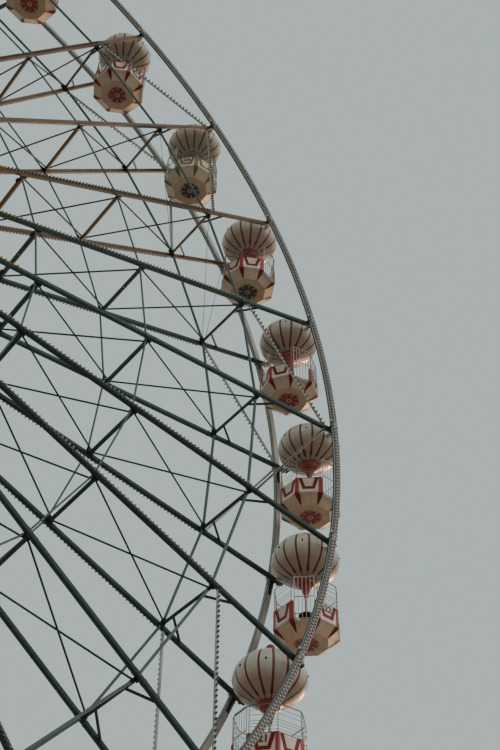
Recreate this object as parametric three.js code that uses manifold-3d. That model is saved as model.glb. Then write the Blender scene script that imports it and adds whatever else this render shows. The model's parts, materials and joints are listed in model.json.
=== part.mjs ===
// Ferris wheel of the travelling kind: 27 balloon gondolas hang between the two lattice faces of the wheel.
// Millimetres, +Z up, origin on the ground under the hub, wheel faces parallel to the XZ plane.
import * as THREE from "three";
import { mergeVertices } from "three/addons/utils/BufferGeometryUtils.js";
import Module from "manifold-3d";

const wasm = await Module();
wasm.setup();

// Driving dimensions of the wheel
const HUB_HEIGHT = 21500;
const GONDOLAS = 27;
const PIVOT_RADIUS = 16800;
const FIRST_SPOKE_DEG = 3.7;
const FACE_Y = 1020;
const SPOKE_WIDTH = 110;
const SPOKE_TIP_RADIUS = 16900;
const RING_RADII = { inner: 7750, middle: 10840, outer: 14250 };
const TIE_WIDTH = { inner: 100, middle: 90, outer: 70 };
const CHORD_WIDTH = 60;
const CHORD_Y = 950;
const RIM_RADIUS = 16645;
const RIM_HEIGHT = 150;
const RIM_WIDTH = 110;
const PACKER = { length: 160, height: 120, thickness: 80 };
const RIM_ARCS = 3;
const SPOKES_PER_SECTOR = 3;
const SEAT_GAP = 0.3;

// Driving dimensions of the hub and its towers
const FLANGE_RADIUS = 850;
const FLANGE_WIDTH = 240;
const DRUM_RADIUS = 420;
const SHAFT_RADIUS = 210;
const SHAFT_LENGTH = 3780;
const BEARING = { y: 1700, length: 1400, width: 400, height: 800 };
const LEG_WIDTH = 420;
const LEG_TOP_X = 420;
const FOOT = { x: 7200, y: 3600 };
const BEAM_HEIGHT = 450;
const BEAM_WIDTH = 500;
const BASE_LENGTH = 16000;
const CROSS_BEAM_WIDTH = 400;

// Driving dimensions of the gondola, measured down from its pivot
const CANOPY_SIDES = 12;
const CANOPY_PROFILE = [
  [62, -940], [140, -730], [240, -610], [440, -460], [745, -265], [875, 40], [765, 365], [390, 635],
  [60, 700], [60, 790], [108, 820], [108, 905], [0, 968],
];
const TUB = { corner: 840, floorCorner: 542, rim: -1600, fold: -2090, floor: -2310, wall: 40 };
const DOOR = { width: 490, depth: 300, sill: -2140 };
const POLE_RADIUS = 35;
const AXLE_WIDTH = 60;

// Riders turn a tub about its pole with its hand wheel, so each doorway faces its own way: the compass
// angle of the doorway from +X, for the gondolas from the spoke of that number on; the others sway about -Y
const DOOR_TURNS = { 3: 179, 2: 286, 1: 258, 0: 272, 26: 226, 25: 176 };
const DOOR_FRONT = 270;
const DOOR_SWAY = 60;

const STEEL = { color: 0x46524e, roughness: 0.55, metalness: 0.6 };
const RIM_PAINT = { color: 0x8b857a, roughness: 0.5, metalness: 0.5 };
const TOWER_PAINT = { color: 0xb9b4a6, roughness: 0.6, metalness: 0.3 };
const FIBREGLASS = { color: 0xcbb89a, roughness: 0.45, metalness: 0.0 };

const wheel = new THREE.Group();
wheel.position.z = HUB_HEIGHT;
const ferrisWheel = new THREE.Group();
ferrisWheel.add(wheel);

// Solids: a geometry becomes a closed solid that can be joined and cut, and back
function solidOf(geometry) {
  const bare = geometry.clone();
  bare.deleteAttribute("normal");
  bare.deleteAttribute("uv");
  const merged = mergeVertices(bare, 1e-3);
  return new wasm.Manifold(new wasm.Mesh({
    numProp: 3,
    vertProperties: merged.attributes.position.array,
    triVerts: new Uint32Array(merged.index.array),
  }));
}

function geometryOf(solid) {
  const mesh = solid.getMesh();
  const geometry = new THREE.BufferGeometry();
  geometry.setAttribute("position", new THREE.BufferAttribute(mesh.vertProperties, mesh.numProp));
  geometry.setIndex(new THREE.BufferAttribute(mesh.triVerts, 1));
  return geometry;
}

function joined(solids) {
  return solids.reduce((sum, solid) => sum.add(solid));
}

function addNode(parent, name, geometry, paint) {
  const mesh = new THREE.Mesh(geometry, new THREE.MeshStandardMaterial(paint));
  mesh.name = name;
  parent.add(mesh);
  return mesh;
}

// A box with its centre at a place
function box(sizeX, sizeY, sizeZ, x = 0, y = 0, z = 0) {
  return solidOf(new THREE.BoxGeometry(sizeX, sizeY, sizeZ).translate(x, y, z));
}

// A square bar from one point to another, one of its sides square to the Y axis
function bar(from, to, width) {
  const along = new THREE.Vector3().subVectors(to, from);
  const length = along.length();
  along.normalize();
  const side = Math.abs(along.y) > 0.99 ? new THREE.Vector3(1, 0, 0) : new THREE.Vector3(0, 1, 0);
  const normal = new THREE.Vector3().crossVectors(along, side).normalize();
  const across = new THREE.Vector3().crossVectors(normal, along);
  const place = new THREE.Matrix4().makeBasis(along, across, normal);
  place.setPosition(from.clone().add(to).multiplyScalar(0.5));
  return solidOf(new THREE.BoxGeometry(length, width, width).applyMatrix4(place));
}

const spokeAngle = (index) => THREE.MathUtils.degToRad(FIRST_SPOKE_DEG + (index * 360) / GONDOLAS);

// A point of the wheel, from its radius, its spoke's index and its depth
function wheelPoint(radius, index, y) {
  const angle = spokeAngle(index);
  return new THREE.Vector3(radius * Math.cos(angle), y, radius * Math.sin(angle));
}

// One spoke, grown on every side by a margin when it is used as a cutter
function spoke(index, y, margin = 0) {
  const start = FLANGE_RADIUS * Math.cos(Math.PI / GONDOLAS) + SEAT_GAP - margin;
  const length = SPOKE_TIP_RADIUS + margin - start;
  const width = SPOKE_WIDTH + 2 * margin;
  const geometry = new THREE.BoxGeometry(length, width, width)
    .translate(start + length / 2, y, 0)
    .rotateY(-spokeAngle(index));
  return solidOf(geometry);
}

// A cross tie is welded to its front spoke and bolted to the face of its rear one; grown, it is a cutter
function tie(index, ring, margin = 0) {
  const radius = RING_RADII[ring];
  const rearEnd = FACE_Y - SPOKE_WIDTH / 2 - SEAT_GAP + margin;
  return bar(wheelPoint(radius, index, -FACE_Y), wheelPoint(radius, index, rearEnd), TIE_WIDTH[ring] + 2 * margin);
}

// One face of a bolted sector of the wheel: three spokes, and the chord that leads on from each along
// the spokes' inner faces; the rear chords are notched for the ties, which belong to the front
function faceBars(number, side) {
  const first = number * SPOKES_PER_SECTOR - 1;
  const last = first + SPOKES_PER_SECTOR - 1;
  const bars = [];
  for (let index = first; index <= last; index += 1) {
    const start = wheelPoint(RING_RADII.outer, index, side * CHORD_Y);
    const end = wheelPoint(RING_RADII.outer, index + 1, side * CHORD_Y);
    let chord = bar(start, end, CHORD_WIDTH);
    if (side > 0) chord = chord.subtract(tie(index, "outer", SEAT_GAP));
    if (side > 0 || index === last) chord = chord.subtract(tie(index + 1, "outer", SEAT_GAP));
    if (index === last) chord = chord.subtract(spoke(index + 1, side * FACE_Y, SEAT_GAP));
    bars.push(spoke(index, side * FACE_Y), chord);
  }
  return bars;
}

function tieBars(number) {
  const first = number * SPOKES_PER_SECTOR - 1;
  const bars = [];
  for (let index = first; index < first + SPOKES_PER_SECTOR; index += 1) {
    for (const ring of Object.keys(RING_RADII)) bars.push(tie(index, ring));
  }
  return bars;
}

// A rim arc runs over nine bays and meets the next one midway between two spokes; a packer holds it off
// each spoke's outer face
function rimArc(number, side) {
  const bays = GONDOLAS / RIM_ARCS;
  const segments = bays * 2;
  const gapAngle = SEAT_GAP / RIM_RADIUS;
  const start = spokeAngle(number * bays - 1.5) + gapAngle / 2;
  const sweep = (bays * 2 * Math.PI) / GONDOLAS - gapAngle;
  const shape = new THREE.Shape();
  const corners = [];
  for (let step = 0; step <= segments; step += 1) {
    const angle = start + (sweep * step) / segments;
    corners.push(angle);
  }
  const point = (radius, angle) => new THREE.Vector2(radius * Math.cos(angle), radius * Math.sin(angle));
  const outer = corners.map((angle) => point(RIM_RADIUS + RIM_HEIGHT / 2, angle));
  const inner = corners.map((angle) => point(RIM_RADIUS - RIM_HEIGHT / 2, angle)).reverse();
  shape.setFromPoints([...outer, ...inner]);
  const geometry = new THREE.ExtrudeGeometry(shape, { depth: RIM_WIDTH, bevelEnabled: false });
  const seat = FACE_Y + SPOKE_WIDTH / 2 + SEAT_GAP;
  const inboard = seat + PACKER.thickness;
  geometry.rotateX(Math.PI / 2);
  geometry.translate(0, side < 0 ? -inboard : inboard + RIM_WIDTH, 0);
  const parts = [solidOf(geometry)];
  const depth = PACKER.thickness + RIM_WIDTH / 2;
  for (let index = number * bays - 1; index < (number + 1) * bays - 1; index += 1) {
    const packer = new THREE.BoxGeometry(PACKER.height, depth, PACKER.length)
      .translate(RIM_RADIUS, side * (seat + depth / 2), 0)
      .rotateY(-spokeAngle(index));
    parts.push(solidOf(packer));
  }
  return geometryOf(joined(parts));
}

// The hub: two flanges that the spokes are bolted to, a drum between them and a shaft through all
function hubGeometry() {
  const flangeOut = FACE_Y + FLANGE_WIDTH / 2;
  const flangeIn = FACE_Y - FLANGE_WIDTH / 2;
  const half = SHAFT_LENGTH / 2;
  const profile = [
    [0, -half], [SHAFT_RADIUS, -half], [SHAFT_RADIUS, -flangeOut], [FLANGE_RADIUS, -flangeOut],
    [FLANGE_RADIUS, -flangeIn], [DRUM_RADIUS, -flangeIn], [DRUM_RADIUS, flangeIn],
    [FLANGE_RADIUS, flangeIn], [FLANGE_RADIUS, flangeOut], [SHAFT_RADIUS, flangeOut],
    [SHAFT_RADIUS, half], [0, half],
  ].map(([radius, y]) => new THREE.Vector2(radius, y));
  const turn = Math.PI / 2 - spokeAngle(0) + Math.PI / GONDOLAS;
  return new THREE.LatheGeometry(profile, GONDOLAS, turn);
}

// A cup with flat sides, turned about Z, its corners between the X and Y axes
function turnedZ(profile, sides, turn) {
  const points = profile.map(([radius, z]) => new THREE.Vector2(radius, z));
  return new THREE.LatheGeometry(points, sides, turn).rotateX(Math.PI / 2);
}

// The way a gondola's doorway faces
function doorTurn(index) {
  const turn = DOOR_TURNS[index] ?? DOOR_FRONT + DOOR_SWAY * Math.sin(2 * index);
  return THREE.MathUtils.degToRad(Math.round(turn) - DOOR_FRONT);
}

// The gondola's octagonal tub, with a doorway down to the fold, turned about the pole
function tub(turn) {
  const { corner, floorCorner, rim, fold, floor, wall } = TUB;
  const profile = [
    [0, floor], [floorCorner, floor], [corner, fold], [corner, rim], [corner - wall, rim],
    [corner - wall, fold + wall / 2], [floorCorner - wall / 2, floor + wall], [0, floor + wall],
  ];
  const shell = turnedZ(profile, 8, Math.PI / 8).rotateZ(turn);
  const doorHeight = 2 * (rim - DOOR.sill);
  const doorway = new THREE.BoxGeometry(DOOR.width, DOOR.depth, doorHeight)
    .translate(0, -corner, DOOR.sill + doorHeight / 2)
    .rotateZ(turn);
  return solidOf(shell).subtract(solidOf(doorway));
}

// The balloon canopy with its funnel, the pole below it and the ball on top; the flats of the canopy
// touch the round shell, so its corners stand a little outside it
function canopy() {
  const poleFoot = TUB.floor + TUB.wall / 2;
  const profile = [[0, poleFoot], [POLE_RADIUS, poleFoot], [POLE_RADIUS, CANOPY_PROFILE[0][1]], ...CANOPY_PROFILE];
  return solidOf(turnedZ(profile, CANOPY_SIDES, 0));
}

// A gondola hangs on an axle through its canopy, whose ends sit in the spoke tips
function gondola(index) {
  const axleLength = 2 * (FACE_Y - SPOKE_WIDTH / 2 - SEAT_GAP);
  const axle = box(AXLE_WIDTH, axleLength, AXLE_WIDTH);
  return joined([tub(doorTurn(index)), canopy(), axle]);
}

function addWheel() {
  addNode(wheel, "hub", hubGeometry(), STEEL);
  for (let number = 0; number < GONDOLAS / SPOKES_PER_SECTOR; number += 1) {
    const front = [...faceBars(number, -1), ...tieBars(number)];
    addNode(wheel, `front_spokes_${number + 1}`, geometryOf(joined(front)), STEEL);
    addNode(wheel, `rear_spokes_${number + 1}`, geometryOf(joined(faceBars(number, 1))), STEEL);
  }
  for (let number = 0; number < RIM_ARCS; number += 1) {
    addNode(wheel, `front_rim_${number + 1}`, rimArc(number, -1), RIM_PAINT);
    addNode(wheel, `rear_rim_${number + 1}`, rimArc(number, 1), RIM_PAINT);
  }
}

function addGondolas() {
  for (let index = 0; index < GONDOLAS; index += 1) {
    const name = `gondola_${String(index + 1).padStart(2, "0")}`;
    const mesh = addNode(wheel, name, geometryOf(gondola(index)), FIBREGLASS);
    mesh.position.copy(wheelPoint(PIVOT_RADIUS, index, 0));
  }
}

// Each tower is an A of two box legs that carries a bearing housing, whose bore has its flats at the
// corners of the shaft
function addTower(side, word) {
  const { y, length, width, height } = BEARING;
  const boreRadius = (SHAFT_RADIUS + SEAT_GAP) / Math.cos(Math.PI / GONDOLAS);
  const bore = new THREE.CylinderGeometry(boreRadius, boreRadius, 2 * width, GONDOLAS)
    .rotateY(Math.PI / 2 - spokeAngle(0));
  const housing = box(length, width, height).subtract(solidOf(bore));
  addNode(ferrisWheel, `${word}_bearing`, geometryOf(housing), STEEL).position.set(0, side * y, HUB_HEIGHT);

  const top = HUB_HEIGHT - height / 2 - SEAT_GAP;
  const bottom = BEAM_HEIGHT + SEAT_GAP;
  for (const [hand, sign] of [["left", -1], ["right", 1]]) {
    const from = new THREE.Vector3(sign * FOOT.x, side * FOOT.y, bottom);
    const to = new THREE.Vector3(sign * LEG_TOP_X, side * y, top);
    const reach = new THREE.Vector3().subVectors(to, from).normalize().multiplyScalar(LEG_WIDTH);
    const leg = bar(from.clone().sub(reach), to.clone().add(reach), LEG_WIDTH);
    const span = box(4 * FOOT.x, 4 * FOOT.y, top - bottom, 0, 0, (top + bottom) / 2);
    addNode(ferrisWheel, `${word}_${hand}_leg`, geometryOf(leg.intersect(span)), TOWER_PAINT);
  }
}

// The welded base: a long beam under each tower and three cross beams between them
function addBase() {
  const beams = [];
  for (const y of [-FOOT.y, FOOT.y]) {
    beams.push(box(BASE_LENGTH, BEAM_WIDTH, BEAM_HEIGHT, 0, y, BEAM_HEIGHT / 2));
  }
  for (const x of [-FOOT.x, 0, FOOT.x]) {
    beams.push(box(CROSS_BEAM_WIDTH, 2 * FOOT.y, BEAM_HEIGHT, x, 0, BEAM_HEIGHT / 2));
  }
  addNode(ferrisWheel, "base_frame", geometryOf(joined(beams)), TOWER_PAINT);
}

addWheel();
addGondolas();
addTower(-1, "front");
addTower(1, "rear");
addBase();

export default ferrisWheel;
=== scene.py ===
import json
from math import atan2, ceil, copysign, cos, floor, pi, radians, sin, tan

import bpy
from mathutils import Matrix, Vector


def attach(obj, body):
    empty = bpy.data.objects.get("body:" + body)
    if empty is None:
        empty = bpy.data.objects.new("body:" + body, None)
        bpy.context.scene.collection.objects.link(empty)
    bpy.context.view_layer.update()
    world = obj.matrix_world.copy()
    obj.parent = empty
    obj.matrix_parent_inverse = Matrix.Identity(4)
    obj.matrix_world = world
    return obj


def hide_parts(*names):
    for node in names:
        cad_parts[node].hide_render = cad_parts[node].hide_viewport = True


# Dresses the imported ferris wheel: lattice, rims, lamps and gondolas. Metres, +Z up, wheel in the XZ plane
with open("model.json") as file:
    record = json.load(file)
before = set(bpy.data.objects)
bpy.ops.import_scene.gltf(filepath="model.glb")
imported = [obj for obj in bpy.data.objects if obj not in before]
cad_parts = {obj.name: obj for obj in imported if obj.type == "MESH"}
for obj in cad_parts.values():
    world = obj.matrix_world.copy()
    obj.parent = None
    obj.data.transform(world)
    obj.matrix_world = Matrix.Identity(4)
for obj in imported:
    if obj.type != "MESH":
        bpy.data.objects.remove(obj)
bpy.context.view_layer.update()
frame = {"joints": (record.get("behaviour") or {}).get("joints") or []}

RIGHT = Vector((1, 0, 0))
BACK = Vector((0, 1, 0))
UP = Vector((0, 0, 1))

# The wheel, worked out from the frame's joints
JOINT_PLACES = {joint["child"]: Vector(joint["pos_m"]) for joint in frame["joints"]}
HUB = JOINT_PLACES["wheel"]
GONDOLAS = sorted(name for name in JOINT_PLACES if name.startswith("gondola"))
COUNT = len(GONDOLAS)
FIRST_ARM = JOINT_PLACES[GONDOLAS[0]] - HUB
PIVOT_RADIUS = FIRST_ARM.length
FIRST_ANGLE = atan2(FIRST_ARM.z, FIRST_ARM.x)
STEP = 2 * pi / COUNT
SECTORS = COUNT // 3
RIM_ARCS = 3
ARC_BAYS = COUNT // RIM_ARCS

# The lattice
FACE_Y = 1.02
SPOKE_WIDTH = 0.11
SPOKE_INNER = FACE_Y - SPOKE_WIDTH / 2
SPOKE_OUTER = FACE_Y + SPOKE_WIDTH / 2
SPOKE_START = 0.846
SPOKE_TIP = 16.9
SPOKE_NECK = SPOKE_TIP - 0.22
BUSH = [(0.032, 0), (0.048, 0), (0.05, 0.01), (0.044, 0.032), (0.032, 0.032), (0.032, 0)]
PIN_CAP = [(0.048, 0), (0.048, 0.018), (0.034, 0.026), (0.034, 0.062), (0.026, 0.07), (0, 0.07)]
RINGS = {"inner": 7.75, "middle": 10.84, "outer": 14.25}
TIE_WIDTH = {"inner": 0.1, "middle": 0.09, "outer": 0.07}
CHORD_WIDTH = {"inner": 0.042, "middle": 0.042, "outer": 0.06}
CHORD_Y = {"inner": 0.95, "middle": 0.95, "outer": 0.89}
CHORD_DROP = {"inner": 0.08, "middle": 0.08, "outer": 0.02}
ROD_RADIUS = 0.023
ROD_Y = 0.86
KNEE_REACH = {"y": 0.51, "radius": 0.56}
CABLE_RADIUS = 0.0075
CABLE_Y = 0.93
BLOCK_Y = 0.75

# The rims
RIM_RADIUS = 16.645
RIM_HEIGHT = 0.165
RIM_INBOARD = 1.1553
RIM_OUTBOARD = 1.2753
RIM_STEPS_PER_BAY = 8
RIM_GAP = 0.0008

# The lamps: their (radius, height) steps, then the paints of the holder, the cap and the tip
LAMP = ((0.035, 0.0), (0.033, 0.022), (0.014, 0.078))
LAMPS = {
    "spoke": (LAMP, "holder", "lamp_cap", "glass"),
    # The tan kind: lighter caps painted as sunlight, on the sectors with painted sunlight
    "tan": (LAMP, "holder", "lamp_tan", "lamp_tan"),
    "amber": (LAMP, "holder", "amber", "amber"),
    "string": (((0.029, 0.0), (0.027, 0.018), (0.012, 0.064)), "string", "holder", "lamp_tan"),
    "rim": (((0.034, 0.0), (0.033, 0.012), (0.018, 0.034)), "rim_holder", "rim_cap", "rim_tip"),
}
LAMP_PITCH = 0.105
STRING_PITCH = 0.12
AMBER_START = 1.1
AMBER_END = 7.1
RIM_LAMPS_PER_BAY = 76
RIM_LAMP_OFFSET = 0.034
RIM_LAMP_CLEAR = 0.1

# The gondola, down from its pivot
BALLOON = [
    (0.0, 0.705), (0.17, 0.695), (0.38, 0.635), (0.58, 0.525), (0.74, 0.365), (0.825, 0.19), (0.845, 0.04),
    (0.815, -0.12), (0.72, -0.265), (0.575, -0.375), (0.43, -0.465), (0.3, -0.545), (0.215, -0.59),
]
EQUATOR = {"radius": 0.845, "z": 0.04, "lip": 0.008}
STRIPES = 16
STRIPE_HALF = 0.026
BLOB = {"top": -0.395, "foot": -0.485, "length": 0.12, "half": 0.033}
RAY = {"foot": -0.55, "half": 0.011}
BAND_HALF = 0.2
FINIAL_NECK = [(0.085, 0.69), (0.072, 0.7), (0.05, 0.72), (0.045, 0.755), (0.06, 0.775)]
FINIAL = {"radius": 0.118, "z": 0.85}
FUNNEL = [
    [(0.284, -0.558), (0.283, -0.563), (0.232, -0.589), (0.23, -0.602)],
    [(0.23, -0.602), (0.22, -0.606), (0.22, -0.616)],
    [(0.22, -0.616), (0.23, -0.62), (0.23, -0.648), (0.22, -0.656)],
    [(0.22, -0.656), (0.19, -0.675), (0.145, -0.72), (0.11, -0.78), (0.085, -0.85), (0.062, -0.92),
     (0.056, -0.96), (0.056, -0.985), (0.036, -0.985)],
]
AXLE = {"radius": 0.03, "end": 0.9643}
AXLE_SEAT = 0.825
AXLE_CAP = [(0.1, -0.02), (0.1, 0.012), (0.06, 0.022), (0.045, 0.05), (AXLE["radius"], 0.05)]
POLE_RADIUS = 0.035
POLE_TOP = -0.97
HAND_WHEEL_Z = -1.52
HAND_WHEEL = [
    (POLE_RADIUS, 0.035), (0.085, 0.028), (0.165, 0.02), (0.185, 0.004), (0.185, -0.03), (0.165, -0.048),
    (0.085, -0.058), (POLE_RADIUS, -0.07),
]
TUB_RIM = -1.6
TUB_FOLD = -2.09
TUB_FLOOR = -2.31
FLOOR_TOP = TUB_FLOOR + 0.05
TUB_APOTHEM = 0.755
FLOOR_APOTHEM = 0.5
TUB_WALL = 0.03
TUB_INSIDE = TUB_APOTHEM - TUB_WALL
CUP = {"top": 0.262, "bottom": 0.155, "depth": 0.375, "stroke": 0.084, "proud": 0.006}
# A rib's steps down from the top: height, half width, how proud it stands
RIB = (
    (TUB_RIM + 0.012, 0.054, 0.014), (TUB_FOLD + 0.06, 0.056, 0.014), (TUB_FOLD + 0.02, 0.07, 0.0205),
    (TUB_FOLD - 0.015, 0.07, 0.0205), (TUB_FOLD - 0.07, 0.058, 0.02), (TUB_FLOOR + 0.006, 0.012, 0.008),
)
SEAT_Z = -1.93
SEAT_FRONT = TUB_INSIDE - 0.27
DOOR_HALF = 0.245
DOOR_SILL = -2.14
GATE_HALF = DOOR_HALF - 0.01
GATE_BARS = 6
CAGE_TOP = -0.94
CAGE_CORNER = 0.06
CAGE_RAILS = (-1.525, -1.44, -1.37, -1.305, -1.17, -1.06)
DOOR_TURNS = {3: 179, 2: 286, 1: 258, 0: 272, 26: 226, 25: 176}
DOOR_FRONT = 270
DOOR_SWAY = 60
FIRST_NUMBER = 22

# The hub and the towers
FLANGE_RADIUS = 0.85
FLANGE_WIDTH = 0.24
FLANGE_BOLTS = 0.775
DRUM_RADIUS = 0.42
SHAFT_RADIUS = 0.21
BOSS = [(0.37, 0), (0.36, 0.01), (0.36, 0.07), (0.34, 0.09), (0.28, 0.09), (0.27, 0.12), (SHAFT_RADIUS, 0.12)]
BEARING = {"y": 1.7, "length": 1.4, "width": 0.4, "height": 0.8}
LEG_WIDTH = 0.42
LEG_TOP_X = 0.42
FOOT = {"x": 7.2, "y": 3.6}
BEAM = {"height": 0.45, "width": 0.5, "length": 16.0, "cross": 0.4}
BEAM_WEBS = (1.8, 3.6, 5.6, 7.7)

# The camera and the studio
CAMERA_PLACE = Vector((1.578, -17.38, 1.619))
CAMERA_AZIMUTH = 36.994
CAMERA_PITCH = 46.105
CAMERA_ROLL = 1.614
CAMERA_LENS = 36.25
SENSOR_HEIGHT = 24.0
SHARP_ANGLE = 62
FLOOR_REACH = 220
FLOOR_Z = -0.002


def along_spoke(index):
    """The direction out from the hub along a spoke."""
    angle = FIRST_ANGLE + index * STEP
    return Vector((cos(angle), 0, sin(angle)))


def across_spoke(index):
    """The direction round the wheel at a spoke."""
    angle = FIRST_ANGLE + index * STEP
    return Vector((-sin(angle), 0, cos(angle)))


def wheel_point(radius, index, y):
    """A point of the wheel, from its radius, its spoke's index and its depth."""
    return HUB + along_spoke(index) * radius + BACK * y


# Shapes
def circle(sides, radius, phase=0.0):
    turns = [2 * pi * (step + phase) / sides for step in range(sides)]
    return [(radius * cos(turn), radius * sin(turn)) for turn in turns]


def rectangle(width, height, chamfer):
    x, y = width / 2, height / 2
    corners = [(x, -y + chamfer), (x, y - chamfer), (x - chamfer, y), (-x + chamfer, y)]
    return corners + [(-a, -b) for a, b in corners]


def square(width, chamfer):
    return rectangle(width, width, chamfer)


def axes_at(place, along, side=None):
    """A matrix whose Z runs along a direction and whose X leans towards a side."""
    z = along.normalized()
    if side is None:
        side = UP if abs(z.z) < 0.9 else RIGHT
    x = (side - z * side.dot(z)).normalized()
    return Matrix.Translation(place) @ Matrix((x, z.cross(x), z)).transposed().to_4x4()


def laid(outline, axes, height=0.0):
    """An outline in the XY of a matrix, at a height along its Z."""
    return [axes @ Vector((x, y, height)) for x, y in outline]


class Shape:
    """A mesh in the making: points, faces, and the paint and shading of each face."""

    def __init__(self):
        self.points = []
        self.faces = []
        self.paints = []
        self.smooth = []

    def add(self, points, faces, paint, smooth=False):
        base = len(self.points)
        self.points += [Vector(point) for point in points]
        self.faces += [[base + corner for corner in face] for face in faces]
        self.paints += [paint] * len(faces)
        self.smooth += [smooth] * len(faces)

    def face(self, points, paint):
        self.add(points, [range(len(points))], paint)

    def loft(self, rings, paint, smooth=False, closed=False, caps=True):
        """Quads between rings of as many points each."""
        sides = len(rings[0])
        points = [point for ring in rings for point in ring]
        faces = []
        for row in range(len(rings) if closed else len(rings) - 1):
            low = row * sides
            high = ((row + 1) % len(rings)) * sides
            for step in range(sides):
                after = (step + 1) % sides
                faces.append([low + step, low + after, high + after, high + step])
        self.add(points, faces, paint, smooth)
        if caps and not closed:
            self.face(rings[0][::-1], paint)
            self.face(rings[-1], paint)

    def bar(self, start, end, outline, side, paint, smooth=False):
        rings = [laid(outline, axes_at(place, end - start, side)) for place in (start, end)]
        self.loft(rings, paint, smooth)

    def rod(self, start, end, radius, paint, sides=8):
        side = BACK if abs((end - start).normalized().y) < 0.9 else RIGHT
        self.bar(start, end, circle(sides, radius), side, paint, smooth=True)

    def lathe(self, profile, axes, sides, paint, phase=0.0):
        """A turned form: (radius, height) pairs round the Z of a matrix."""
        rings = [laid(circle(sides, max(radius, 1e-4), phase), axes, height) for radius, height in profile]
        self.loft(rings, paint, smooth=True, caps=False)

    def tube(self, places, radius, paint, sides=8, closed=False):
        """A round tube along points, mitred at each of them."""
        rings = []
        last = len(places) - 1
        for step, place in enumerate(places):
            before = places[step - 1] if closed or step else place
            after = places[(step + 1) % len(places)] if closed or step < last else place
            rings.append(laid(circle(sides, radius), axes_at(place, after - before)))
        self.loft(rings, paint, smooth=True, closed=closed)

    def plate(self, outline, axes, thickness, paint):
        """A flat plate: an outline in the XY of a matrix, made thick along its Z."""
        self.loft([laid(outline, axes), laid(outline, axes, thickness)], paint)

    def box(self, axes, width, depth, height, paint, chamfer=0.004):
        """A box with soft edges, its middle at a matrix."""
        top = height / 2
        levels = ((-top, chamfer), (chamfer - top, 0), (top - chamfer, 0), (top, chamfer))
        rings = [laid(rectangle(width - 2 * cut, depth - 2 * cut, chamfer), axes, z) for z, cut in levels]
        self.loft(rings, paint)

    def bolt(self, place, along, radius, paint="zinc"):
        """A hexagon head on a washer."""
        washer, base = radius * 1.5, radius * 0.3
        profile = [(washer, 0), (washer, base), (radius, base), (radius, radius), (0, radius)]
        self.lathe(profile, axes_at(place, along), 6, paint)

    def lamp(self, place, along, kind):
        """A small cabochon lamp: its holder, its cap and the tip of the cap."""
        form, holder, cap, tip = LAMPS[kind]
        axes = axes_at(place, along)
        rings = [laid(circle(6, radius), axes, height) for radius, height in form]
        self.loft(rings[:2], holder, caps=False)
        self.loft(rings[1:], cap, smooth=True, caps=False)
        self.face(rings[2], tip)

    def object(self, name, paints, location=(0, 0, 0), turn=0.0):
        """The finished object, turned about its Z, with one material for each paint that is used."""
        mesh = bpy.data.meshes.new(name)
        spin = Matrix.Rotation(turn, 3, "Z")
        mesh.from_pydata([spin @ point for point in self.points], [], self.faces)
        used = sorted(set(self.paints))
        for paint in used:
            mesh.materials.append(paints[paint])
        mesh.polygons.foreach_set("material_index", [used.index(paint) for paint in self.paints])
        mesh.polygons.foreach_set("use_smooth", self.smooth)
        mesh.update()
        mesh.set_sharp_from_angle(angle=radians(SHARP_ANGLE))
        return put(mesh, name, location)


def put(data, name, location=(0, 0, 0)):
    made = bpy.data.objects.new(name, data)
    made.location = location
    bpy.context.scene.collection.objects.link(made)
    return made


# Materials
class Paint:
    """A procedural material: a principled shader whose colour, roughness and bump come from noise."""

    def __init__(self, name):
        self.material = bpy.data.materials.new(name)
        self.material.use_nodes = True
        self.tree = self.material.node_tree
        self.tree.nodes.clear()
        self.shader = self.node("ShaderNodeBsdfPrincipled")
        output = self.node("ShaderNodeOutputMaterial")
        self.link(self.shader.outputs["BSDF"], output.inputs["Surface"])
        self.place = self.node("ShaderNodeTexCoord").outputs["Object"]

    def node(self, kind, **inputs):
        made = self.tree.nodes.new(kind)
        for name, value in inputs.items():
            made.inputs[name.replace("_", " ")].default_value = value
        return made

    def link(self, source, target):
        self.tree.links.new(source, target)

    def noise(self, scale, detail=4.0, stretch=(1, 1, 1)):
        mapping = self.node("ShaderNodeMapping", Scale=stretch)
        self.link(self.place, mapping.inputs["Vector"])
        made = self.node("ShaderNodeTexNoise", Scale=scale, Detail=detail)
        self.link(mapping.outputs["Vector"], made.inputs["Vector"])
        return made.outputs["Fac"]

    def spread(self, source, low, high, to_low=0.0, to_high=1.0):
        """Maps a range of values to another one, held at its ends."""
        made = self.node("ShaderNodeMapRange", From_Min=low, From_Max=high, To_Min=to_low, To_Max=to_high)
        self.link(source, made.inputs["Value"])
        return made.outputs["Result"]

    def mix(self, factor, first, second):
        """Mixes two colours, each from a socket or fixed, in thousandths of linear red, green and blue."""
        made = self.node("ShaderNodeMix")
        made.data_type = "RGBA"
        self.link(factor, made.inputs["Factor"])
        for value, socket in ((first, made.inputs[6]), (second, made.inputs[7])):
            if isinstance(value, tuple):
                socket.default_value = (*(part / 1000 for part in value), 1)
            else:
                self.link(value, socket)
        return made.outputs[2]

    def fade(self, scale, first, second, low=0.35, high=0.65):
        """One colour in broad patches of another."""
        return self.mix(self.spread(self.noise(scale), low, high), first, second)

    def finish(self, color, rough_scale, rough, bump, bump_depth, metallic=0.0, coat=0.0, specular=0.5):
        """Joins the colour to the shader, with patches of roughness and a bump from noise."""
        self.link(color, self.shader.inputs["Base Color"])
        roughness = self.spread(self.noise(rough_scale), 0.3, 0.7, *rough)
        self.link(roughness, self.shader.inputs["Roughness"])
        grain = self.noise(*bump)
        bump = self.node("ShaderNodeBump", Strength=0.6, Distance=bump_depth)
        self.link(grain, bump.inputs["Height"])
        self.link(bump.outputs["Normal"], self.shader.inputs["Normal"])
        for name, value in (("Metallic", metallic), ("Coat Weight", coat), ("Specular IOR Level", specular)):
            self.shader.inputs[name].default_value = value
        return self.material


def scaled(color, share, lift=0):
    return tuple(value * share + lift for value in color)


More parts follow.
